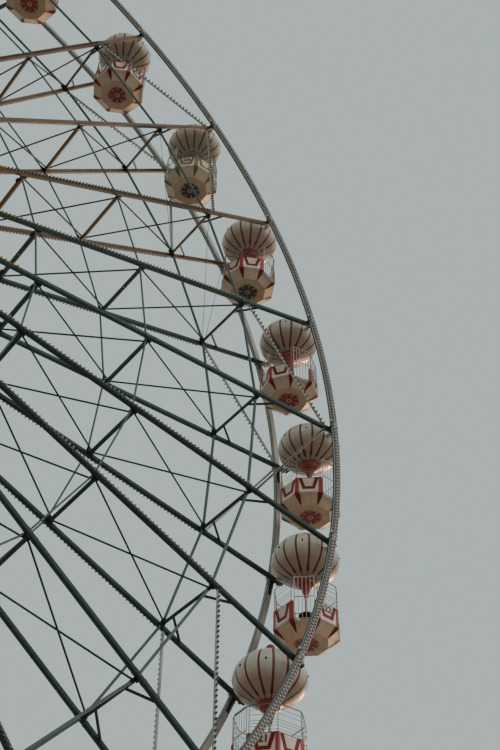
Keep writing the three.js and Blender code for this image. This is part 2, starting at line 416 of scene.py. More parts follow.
def weathered(name, clean, worn, dirt, rough=(0.45, 0.65), dirt_amount=0.5, **finish):
    """Paint with broad fading, streaked dirt running down and a fine orange-peel bump."""
    paint = Paint(name)
    streaks = paint.spread(paint.noise(6.0, 6.0, (1, 1, 0.22)), 0.5, 0.78, 0.0, dirt_amount)
    color = paint.mix(streaks, paint.fade(1.7, clean, worn), dirt)
    return paint.finish(color, 14.0, rough, (180.0, 2.0), 0.0006, **finish)


def canopy_material(name, stripe, stripe_shaded):
    """Striped gel coat with painted shade where it faces down; the mesh says how far a point is from a
    stripe.
    """
    # cream is the lit colour, shaded the painted shade it turns to where the balloon faces down
    cream, shaded = (620, 530, 445), (350, 232, 162)
    paint = Paint(name)
    normal = paint.node("ShaderNodeSeparateXYZ")
    paint.link(paint.node("ShaderNodeTexCoord").outputs["Normal"], normal.inputs["Vector"])
    # Painted shade: 1 where the surface faces up or sideways, falling to 0 where it faces well down
    lit_share = paint.spread(normal.outputs["Z"], -0.72, 0.0)
    edge = paint.node("ShaderNodeAttribute")
    edge.attribute_name = "stripe_edge"
    mask = paint.spread(edge.outputs["Fac"], -0.0015, 0.0015, 1.0, 0.0)
    streaks = paint.spread(paint.noise(9.0, 6.0, (1, 1, 0.18)), 0.52, 0.8, 0.0, 0.35)
    wear = paint.spread(paint.noise(22.0), 0.4, 0.75, 0.0, 0.5)
    clean = paint.mix(lit_share, shaded, paint.fade(2.1, cream, scaled(cream, 0.86)))
    soiled = paint.mix(streaks, clean, scaled(shaded, 0.7))
    # The stripes too turn to their darker colour, painted shade, where the balloon faces down
    painted = paint.mix(lit_share, stripe_shaded, paint.mix(wear, stripe, scaled(stripe, 1.4, 10)))
    color = paint.mix(mask, soiled, painted)
    return paint.finish(color, 11.0, (0.34, 0.52), (60.0, 3.0), 0.0008, coat=0.15)


def lamp_glass(name, clear, dull):
    """The worn plastic of a lamp's cap, a little duller from cap to cap."""
    paint = Paint(name)
    return paint.finish(paint.fade(9.0, clear, dull), 20.0, (0.45, 0.62), (40.0,), 0.0004, specular=0.3)


def floor_material(name, base):
    paint = Paint(name)
    color = paint.fade(0.35, base, scaled(base, 0.96), 0.3, 0.7)
    return paint.finish(color, 2.0, (0.75, 0.9), (8.0,), 0.002)


PAINTS = {made.name: made for made in (
    weathered("steel", (18, 35, 31), (32, 50, 45), (60, 45, 34), specular=0.25),
    # Two steels painted as the low sun's light on the spokes: a lighter green, and a warm brown for full
    # sunlight
    weathered("steel_pale", (31, 58, 52), (46, 74, 66), (70, 52, 40), specular=0.25),
    weathered("steel_brown", (125, 85, 64), (165, 105, 77), (90, 50, 30), specular=0.3),
    weathered("chord", (65, 95, 88), (90, 118, 110), (100, 80, 60), specular=0.3),
    weathered("fitting", (10, 12, 11), (18, 19, 17), (55, 36, 24), specular=0.2),
    weathered("rose", (440, 370, 340), (360, 305, 285), (170, 130, 110)),
    weathered("rim_pale", (520, 490, 455), (440, 415, 385), (220, 180, 150)),
    weathered("string", (330, 312, 285), (380, 355, 325), (50, 40, 30)),
    weathered("rim", (250, 275, 260), (200, 220, 205), (120, 110, 95), (0.4, 0.6)),
    weathered("rim_edge", (30, 38, 36), (45, 52, 48), (80, 60, 50), (0.4, 0.6)),
    weathered("lamp_board", (380, 290, 265), (310, 235, 215), (50, 40, 35), (0.5, 0.7)),
    weathered("zinc", (360, 370, 360), (280, 290, 280), (200, 170, 130), (0.35, 0.55), metallic=0.6),
    weathered("holder", (60, 55, 48), (80, 72, 62), (30, 25, 20), (0.5, 0.7), specular=0.3),
    weathered("rim_holder", (110, 82, 74), (85, 64, 58), (50, 40, 35), (0.5, 0.7), specular=0.3),
    lamp_glass("lamp_cap", (310, 295, 265), (230, 215, 195)),
    lamp_glass("glass", (540, 510, 465), (440, 415, 375)),
    # Lighter tan caps: painted sunlight on the tan lamps; also the tips of the string lamps
    lamp_glass("lamp_tan", (210, 150, 105), (150, 110, 80)),
    lamp_glass("rim_cap", (360, 295, 275), (260, 210, 195)),
    lamp_glass("rim_tip", (520, 480, 460), (400, 370, 350)),
    lamp_glass("amber", (620, 330, 30), (500, 250, 20)),
    weathered("red", (280, 14, 17), (340, 24, 25), (100, 13, 12), (0.32, 0.48), coat=0.1),
    # A darker red: the cup outlines' own colour, and painted shade on the ribs below the fold
    weathered("red_dark", (150, 11, 9), (190, 16, 12), (50, 9, 6), (0.45, 0.6), specular=0.25),
    weathered("funnel", (250, 17, 14), (300, 27, 19), (100, 15, 10), (0.36, 0.52), coat=0.1),
    weathered("flower", (200, 16, 8), (250, 26, 14), (100, 18, 10), (0.4, 0.55)),
    weathered("flower_dark", (40, 22, 14), (55, 30, 18), (30, 20, 12), (0.4, 0.55)),
    weathered("cream", (660, 475, 375), (580, 415, 325), (300, 200, 150), (0.34, 0.5), coat=0.15),
    weathered("cream_light", (800, 580, 500), (720, 520, 440), (370, 260, 200), (0.34, 0.5), coat=0.15),
    # Darker, browner creams painted as shade on faces that look down: the tub's sloping lower panels and its
    # floor
    weathered("cream_shade", (540, 365, 255), (470, 315, 220), (260, 170, 115), (0.4, 0.58)),
    weathered("cream_floor", (470, 300, 195), (410, 255, 165), (210, 125, 80), (0.42, 0.6)),
    weathered("wire", (130, 135, 125), (190, 190, 180), (110, 80, 55), (0.35, 0.5), metallic=0.4),
    weathered("gate", (520, 460, 410), (440, 390, 345), (300, 230, 170), (0.35, 0.5)),
    weathered("black", (12, 12, 12), (22, 22, 21), (50, 45, 40), (0.45, 0.7)),
    weathered("pole", (440, 430, 400), (360, 350, 325), (200, 160, 120), (0.35, 0.5)),
    weathered("seat", (130, 22, 18), (170, 35, 28), (60, 20, 15), (0.4, 0.6)),
    weathered("tower", (580, 550, 480), (500, 475, 420), (250, 200, 150), (0.4, 0.6), dirt_amount=0.4),
    weathered("digit", (20, 35, 30), (30, 45, 40), (50, 40, 30), (0.4, 0.55)),
    weathered("gold", (150, 110, 30), (200, 150, 45), (70, 50, 20), (0.32, 0.48), coat=0.1),
    # A darker gold: the cup outlines' own colour, and painted shade on the ribs below the fold
    weathered("gold_dark", (110, 85, 28), (140, 105, 40), (50, 35, 15), (0.4, 0.55), coat=0.1),
    # Each canopy's stripe colour, then the darker one painted as shade where the balloon faces down
    canopy_material("canopy", (150, 14, 13), (90, 11, 7)),
    canopy_material("canopy_gold", (150, 100, 30), (80, 55, 20)),
)}


# Gondola parts, each built round its pivot
def catmull(points, steps):
    """A smooth run of points through a few given ones."""
    padded = [points[0], *points, points[-1]]
    run = []
    for a, b, c, d in zip(padded, padded[1:], padded[2:], padded[3:]):
        for step in range(steps):
            t = step / steps
            run.append(tuple(
                q + 0.5 * t * (r - p + t * (2 * p - 5 * q + 4 * r - s + t * (3 * q - p - 3 * r + s)))
                for p, q, r, s in zip(a, b, c, d)))
    run.append(points[-1])
    return run


def stripe_half_width(z):
    """Half a stripe's width: a blob at its end, a thin ray below it and a band at the collar."""
    if z > BLOB["top"]:
        return STRIPE_HALF
    if z > BLOB["foot"]:
        swell = sin(pi * (BLOB["top"] - z) / BLOB["length"])
        return STRIPE_HALF + (BLOB["half"] - STRIPE_HALF) * swell
    return RAY["half"] if z > RAY["foot"] else BAND_HALF


def balloon(shape):
    """Adds the balloon and returns how far each of its points is from a stripe's edge, for its material."""
    per_stripe = 6
    sides = STRIPES * per_stripe
    profile = []
    rows = catmull(BALLOON, 3)
    for (radius, z), (after, below) in zip(rows, rows[1:]):
        parts = 3 if z < -0.36 else 1
        for share in (part / parts for part in range(parts)):
            profile.append((radius + (after - radius) * share, z + (below - z) * share))
    profile.append(rows[-1])
    edges = []
    rings = []
    for radius, z in profile:
        lip = EQUATOR["lip"] if abs(z - EQUATOR["z"]) < 0.02 else 0.0
        rings.append(laid(circle(sides, radius + lip, per_stripe / 2), Matrix.Translation(UP * z)))
        for step in range(sides):
            away = min(step % per_stripe, per_stripe - step % per_stripe)
            edges.append(2 * pi * radius / STRIPES * away / per_stripe - stripe_half_width(z))
    shape.loft(rings, "canopy", smooth=True, caps=False)
    return edges


def canopy_shape():
    """The balloon with its finial, funnel, pole, hand wheel, eyelets and axle caps."""
    shape = Shape()
    up = Matrix.Identity(4)
    edges = balloon(shape)
    shape.lathe(FINIAL_NECK, up, 20, "trim")
    ball = [(FINIAL["radius"] * sin(turn), FINIAL["z"] - FINIAL["radius"] * cos(turn))
            for turn in (pi * step / 12 for step in range(1, 13))]
    shape.lathe(ball, up, 20, "trim")
    for profile in FUNNEL:
        shape.lathe(profile, up, 32, "funnel")
    shape.lathe([(POLE_RADIUS, POLE_TOP), (POLE_RADIUS, TUB_FLOOR + 0.04)], up, 16, "pole")
    shape.lathe([(radius, HAND_WHEEL_Z + height) for radius, height in HAND_WHEEL], up, 24, "black")
    for step in range(8):
        eyelet(shape, 2 * pi * step / 8)
    end = AXLE["end"] - AXLE_SEAT
    for sign in (-1, 1):
        axes = axes_at(BACK * sign * AXLE_SEAT, BACK * sign, UP)
        shape.lathe([*AXLE_CAP, (AXLE["radius"], end), (0, end)], axes, 20, "zinc")
    return shape, edges


def eyelet(shape, turn):
    """A small dark lifting eye just above the balloon's seam."""
    out = Vector((cos(turn), sin(turn), 0))
    axes = axes_at(out * (EQUATOR["radius"] - 0.008) + UP * (EQUATOR["z"] + 0.07), out, UP)
    shape.box(axes, 0.07, 0.035, 0.024, "fitting", 0.003)
    shape.lathe([(0.012, 0.01), (0.012, 0.035), (0.0, 0.035)], axes, 8, "fitting")


def side_axes(side):
    """The outward and sideways directions of one side of the tub; side 0 has the doorway, at -Y."""
    turn = radians(DOOR_FRONT + 45 * side)
    return Vector((cos(turn), sin(turn), 0)), Vector((-sin(turn), cos(turn), 0))


def side_point(side, s, apothem, z):
    out, along = side_axes(side)
    return out * apothem + along * s + UP * z


def half_side(apothem):
    return apothem * tan(pi / 8)


def side_ends(side, apothem, z):
    """The two ends of a side of the tub at a height."""
    return [side_point(side, sign * half_side(apothem), apothem, z) for sign in (-1, 1)]


def panel(shape, side, high, low, paint):
    """A flat panel across a side of the tub, between two (apothem, height) pairs."""
    (a, b), (c, d) = side_ends(side, *high), side_ends(side, *low)
    shape.face([a, c, d, b], paint)


def slope_apothem(z):
    """The tub's apothem at a height: upright above the fold, sloping in below it."""
    share = max(0.0, (TUB_FOLD - z) / (TUB_FOLD - TUB_FLOOR))
    return TUB_APOTHEM + (FLOOR_APOTHEM - TUB_APOTHEM) * share


def upper_panel(shape, side):
    """A side of the tub above the fold, with its raised cup-shaped outline and the ledge at the fold."""
    reach = half_side(TUB_APOTHEM)
    top, bottom, stroke = CUP["top"], CUP["bottom"], CUP["stroke"]
    foot = TUB_RIM - CUP["depth"]

    def on(*places, proud=0.0):
        return [side_point(side, s, TUB_APOTHEM + proud, z) for s, z in places]

    shape.face(on((-reach, TUB_RIM), (-reach, TUB_FOLD), (-bottom, foot), (-top, TUB_RIM)), "cream_light")
    shape.face(on((-reach, TUB_FOLD), (reach, TUB_FOLD), (bottom, foot), (-bottom, foot)), "cream_light")
    shape.face(on((reach, TUB_FOLD), (reach, TUB_RIM), (top, TUB_RIM), (bottom, foot)), "cream_light")
    wide, narrow, base = top - stroke * 1.08, bottom - stroke * 0.75, foot + stroke
    inner = [(-wide, TUB_RIM), (-narrow, base), (narrow, base), (wide, TUB_RIM)]
    outer = [(-top, TUB_RIM), (-bottom, foot), (bottom, foot), (top, TUB_RIM)]
    shape.face(on(*inner), "cream")
    for here in range(3):
        quad = [outer[here], outer[here + 1], inner[here + 1], inner[here]]
        points = on(*quad) + on(*quad, proud=CUP["proud"])
        shape.add(points, [[4, 5, 6, 7], [0, 1, 5, 4], [2, 3, 7, 6]], "trim_dark")
    ledge = reach - 0.06
    steps = ((0.05, 0.0), (0.035, 0.012), (0.0, 0.012), (-0.008, -0.006))
    rows = [on((-ledge, TUB_FOLD + rise), (ledge, TUB_FOLD + rise), proud=proud) for rise, proud in steps]
    for (a, b), (c, d) in zip(rows, rows[1:]):
        shape.face([a, c, d, b], "gate")


def rib(shape, corner):
    """A red rib over one corner of the tub, widest at the fold and pointed at the floor."""
    after = (corner + 1) % 8
    rings = []
    for z, half, proud in RIB:
        apothem = slope_apothem(z)
        edge, low, high = half_side(apothem) - half, apothem - 0.01, apothem + proud
        rings.append([
            side_point(corner, edge, low, z), side_point(corner, edge, high, z),
            side_point(corner, half_side(high), high, z),
            side_point(after, -edge, high, z), side_point(after, -edge, low, z),
            side_point(corner, half_side(apothem - 0.02), apothem - 0.02, z),
        ])
    shape.loft(rings[3::-1], "trim", caps=False)
    # Below the fold the rib slopes in and faces down: the darker trim there is painted shade
    shape.loft(rings[:2:-1], "trim_dark", caps=False)
    shape.face(rings[0], "trim")


def rosette(shape):
    """A painted flower on the underside: eight petals with ragged ends round a small grey middle."""
    down = Matrix.Translation((0, 0, TUB_FLOOR)) @ Matrix.Rotation(pi, 4, "X")
    for step in range(8):
        wide = 1 + 0.16 * sin(2.3 * step)
        petal = [(0.07, -0.024), (0.125, -0.052), (0.205, -0.068 * wide), (0.3, -0.1 * wide),
                 (0.262, -0.03), (0.305 * wide, 0.006), (0.258, 0.034), (0.29, 0.094), (0.205, 0.066),
                 (0.125, 0.05), (0.07, 0.024)]
        turn = Matrix.Rotation(2 * pi * (step + 0.5) / 8, 4, "Z")
        shape.plate(petal, down @ turn, 0.003 + 0.0002 * step, "flower")
    shape.plate(circle(16, 0.072), down, 0.006, "zinc")
    shape.plate(circle(12, 0.04), down, 0.008, "flower")


def tub_shape(number):
    shape = Shape()
    for side in range(8):
        wall = [(TUB_INSIDE, TUB_RIM), (TUB_INSIDE, TUB_FOLD), (FLOOR_APOTHEM, FLOOR_TOP)]
        if side:
            upper_panel(shape, side)
            # The lower panel slopes in and faces down: darker cream as painted shade
            panel(shape, side, (TUB_APOTHEM, TUB_FOLD), (FLOOR_APOTHEM, TUB_FLOOR), "cream_shade")
            panel(shape, side, (TUB_INSIDE, TUB_RIM), (TUB_APOTHEM, TUB_RIM), "cream_light")
        else:
            door_side(shape)
            wall = [(slope_apothem(DOOR_SILL) - 0.012, DOOR_SILL + 0.004), wall[-1]]
        for upper, lower in zip(wall, wall[1:]):
            panel(shape, side, lower, upper, "cream")
        rib(shape, side)
    # The floor's underside in the darker, browner cream as painted shade; its top in zinc
    for z, order, paint in ((TUB_FLOOR, -1, "cream_floor"), (FLOOR_TOP, 1, "zinc")):
        corners = [side_ends(side, FLOOR_APOTHEM, z)[0] for side in range(8)]
        shape.face(corners[::order], paint)
    rosette(shape)
    bench(shape)
    digits(shape, number)
    return shape


def door_side(shape):
    """The side with the doorway: a post beside it on each hand, and the sill below."""
    reach = half_side(TUB_APOTHEM)
    sill = slope_apothem(DOOR_SILL)
    limit = half_side(sill)
    for sign in (-1, 1):
        near, far = sorted((sign * DOOR_HALF, sign * reach))
        outline = ((near, TUB_RIM), (near, TUB_FOLD), (far, TUB_FOLD), (far, TUB_RIM))
        post = [[side_point(0, s, apothem, z) for s, z in outline] for apothem in (TUB_INSIDE, TUB_APOTHEM)]
        shape.loft(post, "cream_light")
        left, right = (max(-limit, min(limit, s)) for s in (near, far))
        # The sloping fill beside the doorway, in the darker cream as painted shade
        corners = ((near, TUB_APOTHEM, TUB_FOLD), (left, sill, DOOR_SILL),
                   (right, sill, DOOR_SILL), (far, TUB_APOTHEM, TUB_FOLD))
        shape.face([side_point(0, *corner) for corner in corners], "cream_shade")
    # The lower panel under the sill, in the darker cream as painted shade
    panel(shape, 0, (sill, DOOR_SILL), (FLOOR_APOTHEM, TUB_FLOOR), "cream_shade")
    axes = axes_at(side_point(0, 0, TUB_APOTHEM - 0.04, DOOR_SILL + 0.006), UP)
    shape.box(axes, 2 * DOOR_HALF - 0.01, 0.1, 0.014, "gate", 0.003)


def bench(shape):
    """A moulded seat round the inside, open at the doorway."""
    lip, under = SEAT_FRONT + 0.03, SEAT_Z - 0.05
    profile = [(TUB_INSIDE, SEAT_Z + 0.01), (TUB_INSIDE - 0.02, SEAT_Z + 0.03), (lip, SEAT_Z + 0.03),
               (SEAT_FRONT, SEAT_Z), (SEAT_FRONT, under), (lip, under), (lip, FLOOR_TOP)]
    paints = ["seat"] * 5 + ["cream"]
    for side in range(1, 8):
        for first, second, paint in zip(profile, profile[1:], paints):
            panel(shape, side, second, first, paint)
    for side, hand in ((1, 0), (7, 1)):
        outline = [*profile, (FLOOR_APOTHEM, FLOOR_TOP), (TUB_INSIDE, TUB_FOLD)]
        shape.face([side_ends(side, *pair)[hand] for pair in outline], "cream")


def digits(shape, number):
    """The gondola's number on the panel beside the doorway."""
    text = bpy.data.curves.new("number", "FONT")
    text.body = str(number)
    text.size = 0.23
    text.offset = 0.009
    text.align_x = "CENTER"
    text.resolution_u = 3
    text.extrude = 0.0015
    holder = bpy.data.objects.new("number", text)
    mesh = bpy.data.meshes.new_from_object(holder)
    out, along = side_axes(1)
    axes = axes_at(side_point(1, 0, TUB_APOTHEM + 0.002, TUB_RIM - 0.2), out, along)
    faces = [list(face.vertices) for face in mesh.polygons]
    shape.add([axes @ vertex.co for vertex in mesh.vertices], faces, "digit")
    bpy.data.objects.remove(holder)
    bpy.data.meshes.remove(mesh)


def round_tub(reach, apothem, z):
    """The tub's corners at a height, from one side of the doorway round to the other."""
    corners = [side_point(side, -reach, apothem, z) for side in range(1, 8)]
    return [*corners, side_point(7, reach, apothem, z)]


def cage_shape():
    """The wire cage above the tub, its black rim strip and the gate in the doorway."""
    shape = Shape()
    apothem = TUB_APOTHEM - TUB_WALL / 2
    reach = half_side(apothem)
    bend = reach - CAGE_CORNER
    for side in range(8):
        foot = side_point(side, reach, apothem, TUB_RIM)
        shape.rod(foot, foot + UP * (CAGE_TOP - TUB_RIM), 0.01, "wire", 6)
    loop = [side_point(side, s, apothem, CAGE_TOP) for side in range(8) for s in (-bend, bend)]
    shape.tube(loop, 0.012, "wire", closed=True)
    for z in CAGE_RAILS:
        shape.tube(round_tub(reach, apothem, z), 0.006, "wire", 6)
    shape.tube(round_tub(reach, TUB_APOTHEM - 0.01, TUB_RIM + 0.004), 0.015, "black")
    top, middle, bottom = CAGE_TOP + 0.02, -1.48, DOOR_SILL + 0.05
    for z in (top, middle, bottom):
        shape.rod(*(side_point(0, s, TUB_APOTHEM, z) for s in (-GATE_HALF, GATE_HALF)), 0.014, "gate")
    for step in range(GATE_BARS):
        s = GATE_HALF * (2 * step / (GATE_BARS - 1) - 1)
        radius = 0.013 if step in (0, GATE_BARS - 1) else 0.0085
        shape.rod(*(side_point(0, s, TUB_APOTHEM, z) for z in (bottom, top)), radius, "gate", 6)
    return shape


def door_turn(index):
    """The way a gondola's doorway faces, as a turn of its tub."""
    turn = DOOR_TURNS.get(index, DOOR_FRONT + DOOR_SWAY * sin(2 * index))
    return radians(floor(turn + 0.5) - DOOR_FRONT)


def gondola_trim(index):
    """The paints of a gondola's trim: every ninth is gold, the others red."""
    gold = index % 9 == 3
    names = ["gold", "gold_dark", "canopy_gold", "gold"] if gold else ["red", "red_dark", "canopy", "funnel"]
    names.append("flower_dark" if index % 9 in (2, 3) else "flower")
    uses = ("trim", "trim_dark", "canopy", "funnel", "flower")
    return {**PAINTS, **{use: PAINTS[name] for use, name in zip(uses, names)}}


def add_gondolas():
    canopy_meshes = {}
    cage = cage_shape()
    for index, name in enumerate(GONDOLAS):
        place = JOINT_PLACES[name]
        turn = door_turn(index)
        paints = gondola_trim(index)
        style = paints["canopy"].name
        if style not in canopy_meshes:
            shape, edges = canopy_shape()
            pattern = shape.object("canopy_pattern", paints)
            distance = pattern.data.attributes.new("stripe_edge", "FLOAT", "POINT")
            distance.data.foreach_set("value", edges + [1.0] * (len(shape.points) - len(edges)))
            canopy_meshes[style] = pattern.data
            bpy.data.objects.remove(pattern)
        number = (index + FIRST_NUMBER) % COUNT + 1
        pieces = [
            put(canopy_meshes[style], f"{name}_canopy", place),
            tub_shape(number).object(f"{name}_tub", paints, place, turn),
            cage.object(f"{name}_cage", PAINTS, place, turn),
        ]
        for piece in pieces:
            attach(piece, name)
            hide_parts(name)


# The lattice of the wheel
def spoke_parts(shape, index, sign, paint):
    """A spoke with its sleeves, end plate, pointed tip and bearing."""
    y = sign * FACE_Y
    out, along = along_spoke(index), across_spoke(index)
    half = SPOKE_WIDTH / 2
    reach = half - 0.004
    tip = []
    for radius, width in ((SPOKE_NECK, half), (SPOKE_TIP, half / 2)):
        corners = ((-reach, -width), (reach, -width), (reach, width), (-reach, width))
        tip.append([wheel_point(radius, index, y + depth) + along * shift for depth, shift in corners])
    shape.loft(tip, paint)
    wide = square(SPOKE_WIDTH + 0.006, 0.01)
    sleeves = [radius + shift for radius in RINGS.values() for shift in (-0.17, 0.1)]
    stretches = [
        (SPOKE_START + 0.02, SPOKE_NECK, square(SPOKE_WIDTH, 0.012), paint),
        (SPOKE_START, SPOKE_START + 0.025, rectangle(0.2, 0.16, 0.01), "fitting"),
        *((start, start + 0.07, wide, paint) for start in sleeves),
    ]
    for start, end, outline, color in stretches:
        shape.bar(wheel_point(start, index, y), wheel_point(end, index, y), outline, BACK, color)
    for depth in (-0.072, 0.072):
        for shift in (-0.068, 0.068):
            place = wheel_point(SPOKE_START + 0.025, index, y + depth) + along * shift
            shape.bolt(place, out, 0.012, "fitting")
    axes = axes_at(wheel_point(PIVOT_RADIUS, index, sign * SPOKE_INNER), BACK * -sign, along)
    shape.lathe(BUSH, axes, 18, "steel")
    axes = axes_at(wheel_point(PIVOT_RADIUS - 0.14, index, sign * SPOKE_INNER), BACK * -sign, along)
    shape.plate([(-0.05, -0.13), (0.05, -0.13), (0.03, 0.02), (-0.03, 0.02)], axes, 0.008, "gate")
    axes = axes_at(wheel_point(PIVOT_RADIUS, index, sign * SPOKE_OUTER), BACK * sign, along)
    shape.lathe(PIN_CAP, axes, 14, "zinc")


def tie_parts(shape, index, ring, paint):
    """A cross tie between the two spokes of a pair, with its end fittings."""
    radius, width = RINGS[ring], TIE_WIDTH[ring]
    out = along_spoke(index)
    ends = (wheel_point(radius, index, y) for y in (-SPOKE_INNER, SPOKE_INNER))
    shape.bar(*ends, square(width, 0.01), out, paint)
    for sign in (-1, 1):
        place = wheel_point(radius, index, sign * (SPOKE_INNER - 0.03))
        shape.box(axes_at(place, BACK, out), width + 0.06, width + 0.03, 0.06, "fitting")
        if ring == "inner":
            place = wheel_point(radius - width / 2 - 0.022, index, sign * BLOCK_Y)
            shape.box(axes_at(place, BACK, out), 0.05, 0.09, 0.1, "fitting")


def braces(shape, index):
    """The knee braces beyond the outer ring, and the thin rods that cross between the rings of ties."""
    radius = RINGS["outer"]
    for sign in (-1, 1):
        start = wheel_point(radius, index, sign * KNEE_REACH["y"])
        end = wheel_point(radius + KNEE_REACH["radius"], index, sign * SPOKE_INNER)
        shape.bar(start, end, square(0.05, 0.006), across_spoke(index), "steel")
        shift = across_spoke(index) * 0.016 * sign
        for low, high in (("inner", "middle"), ("middle", "outer")):
            start = wheel_point(RINGS[low] + 0.03, index, -sign * ROD_Y) + shift
            end = wheel_point(RINGS[high] - 0.02, index, sign * ROD_Y) + shift
            shape.rod(start, end, ROD_RADIUS, "steel", 6)


def chord_parts(shape, index, sign, ring):
    """A chord from one spoke pair to the next, held to the spokes' inner faces by a bracket at each end."""
    radius = RINGS[ring] - CHORD_DROP[ring]
    start, end = (wheel_point(radius, spoke, sign * CHORD_Y[ring]) for spoke in (index, index + 1))
    width = CHORD_WIDTH[ring]
    along = (end - start).normalized()
    shape.bar(start + along * 0.05, end - along * 0.05, square(width, 0.008), BACK, "chord")
    low, high = sorted((CHORD_Y[ring] - width / 2 - 0.012, SPOKE_INNER))
    for place, hand in ((start, 1), (end, -1)):
        lug = place + along * hand * 0.085
        lug.y = sign * (low + high) / 2
        shape.box(axes_at(lug, along, BACK), high - low, width + 0.02, 0.09, "fitting")


def cables(shape, index):
    """Thin cables in two bays of every nine: face to face at the outer ring, and one in the rear face."""
    if index % 9 not in (1, 2):
        return
    start = wheel_point(RINGS["outer"], index, CABLE_Y)
    shape.rod(start, wheel_point(RINGS["outer"], index + 1, -CABLE_Y), CABLE_RADIUS, "chord", 6)
    if index % 9 == 1:
        start = wheel_point(RINGS["outer"] + 0.08, index, CABLE_Y)
        shape.rod(start, wheel_point(SPOKE_TIP - 0.45, index + 1, CABLE_Y), CABLE_RADIUS, "chord", 6)


def lamp_row(shape, start, end, out, kind, pitch=LAMP_PITCH):
    """Lamps at an even pitch between two points."""
    steps = int((end - start).length / pitch)
    for step in range(steps + 1):
        shape.lamp(start + (end - start) * (step / steps), out, kind)


def sector_spokes(number):
    return range(3 * number - 1, 3 * number + 2)


def sector_shape(number):
    """Three spoke pairs with their chords, ties, braces, rods and cables."""
    shape = Shape()
    for index in sector_spokes(number):
        # Painted sunlight: one sector in three in the brown steel, two spoke pairs in nine in the lighter
        # green, repeated round the wheel
        paint = "steel_brown" if number % 3 == 1 else "steel_pale" if index % 9 < 2 else "steel"
        for sign in (-1, 1):
            spoke_parts(shape, index, sign, paint)
            for ring in RINGS:
                chord_parts(shape, index, sign, ring)
        cables(shape, index)
        for ring in RINGS:
            tie_parts(shape, index, ring, paint)
        braces(shape, index)
    return shape


def lamp_shape(number):
    """Amber lamps near the hub on three spokes; further out, lamps on two of them and on their strings."""
    shape = Shape()
    middle = 3 * number
    # The lamps on the sectors with painted sunlight get the lighter tan caps, painted sunlight too
    kind = "tan" if number % 3 == 1 else "spoke"
    for sign in (-1, 1):
        out = BACK * sign
        face = sign * SPOKE_OUTER
        for index in sector_spokes(number):
            start, end = (wheel_point(radius, index, face) for radius in (AMBER_START, AMBER_END))
            lamp_row(shape, start, end, out, "amber")
            if index == middle:
                continue
            start = wheel_point(AMBER_END + LAMP_PITCH, index, face)
            lamp_row(shape, start, wheel_point(RINGS["outer"] - 0.1, index, face), out, kind)
            start = wheel_point(RINGS["outer"] + 0.1, index, sign * FACE_Y)
            end = wheel_point(SPOKE_TIP - 0.4, middle, sign * FACE_Y)
            shape.bar(start, end, rectangle(0.042, 0.06, 0.004), out, "string")
            lamp_row(shape, start + out * 0.025, end + out * 0.025, out, "string", STRING_PITCH)
    return shape


def rim_shape(arc, sign):
    """A third of a rim: a box section with lips along its edges, a lamp board, and flanges at each spoke."""
    shape = Shape()
    first = arc * ARC_BAYS - 1.5
    steps = ARC_BAYS * RIM_STEPS_PER_BAY
    chamfer, lip, groove = 0.008, 0.018, 0.008
    shadow, under = (0.045, "rim_pale") if sign < 0 else (lip, "rim")
    width, top = RIM_OUTBOARD - RIM_INBOARD, RIM_HEIGHT
    # Round the section: height above its underside, depth out from its inboard face, paint of the next edge
    section = (
        (0, chamfer, "rim_edge"), (0, shadow, "rim_edge"), (groove, shadow, under),
        (groove, width - lip, "rim_edge"), (0, width - lip, "rim_edge"), (0, width - chamfer, "rim_edge"),
        (chamfer, width, "rim_edge"), (lip, width, "lamp_board"), (top - lip, width, "rim_edge"),
        (top - chamfer, width, "rim"), (top, width - chamfer, "rim"), (top, chamfer, "rim"),
        (top - chamfer, 0, "rose"), (chamfer, 0, "rim_edge"),
    )
    places = [first + ARC_BAYS * step / steps for step in range(steps + 1)]
    places[0] += RIM_GAP / RIM_RADIUS
    places[-1] -= RIM_GAP / RIM_RADIUS
    low = RIM_RADIUS - RIM_HEIGHT / 2
    rings = [[wheel_point(low + rise, index, sign * (RIM_INBOARD + depth)) for rise, depth, _ in section]
             for index in places]
    for edge, (_, _, paint) in enumerate(section):
        points = [point for ring in rings for point in (ring[edge], ring[(edge + 1) % len(section)])]
        faces = [[2 * row, 2 * row + 2, 2 * row + 3, 2 * row + 1] for row in range(steps)]
        shape.add(points, faces, paint)
    for ring in (rings[0], rings[-1]):
        shape.face(ring, "fitting")
    for index in range(ceil(first), ceil(first) + ARC_BAYS):
        rim_joint(shape, index, sign)
    return shape


def rim_joint(shape, index, sign):
    """The bolted flanges of a rim joint, and the packer between the rim and the spoke's end."""
    middle = sign * (RIM_INBOARD + RIM_OUTBOARD) / 2
    depth = RIM_OUTBOARD - RIM_INBOARD + 0.012
    out, along = along_spoke(index), across_spoke(index)
    for shift in (-0.055, 0.055):
        axes = axes_at(wheel_point(RIM_RADIUS, index, middle) + along * shift, along, out)
        shape.box(axes, RIM_HEIGHT + 0.02, depth, 0.016, "rim_edge" if sign < 0 else "rim", 0.003)
        for rise in (-0.045, 0.045):
            head = wheel_point(RIM_RADIUS + rise, index, middle) + along * shift * 1.15
            shape.bolt(head, along * copysign(1, shift), 0.014)
    packer = wheel_point(RIM_RADIUS, index, sign * (SPOKE_OUTER + RIM_INBOARD) / 2)
    shape.box(axes_at(packer, out, BACK), RIM_INBOARD - SPOKE_OUTER, 0.1, 0.1, "fitting")
    splice = wheel_point(RIM_RADIUS, index, sign * (RIM_INBOARD - 0.004)) - along * 0.24
    shape.box(axes_at(splice, along, BACK), 0.012, 0.085, 0.34, "steel", 0.003)
    under = RIM_RADIUS - RIM_HEIGHT / 2 - 0.02
    stub = wheel_point(under, index, sign * (RIM_OUTBOARD - 0.03)) + along * 0.11
    shape.box(axes_at(stub, out, along), 0.06, 0.05, 0.06, "gate", 0.006)


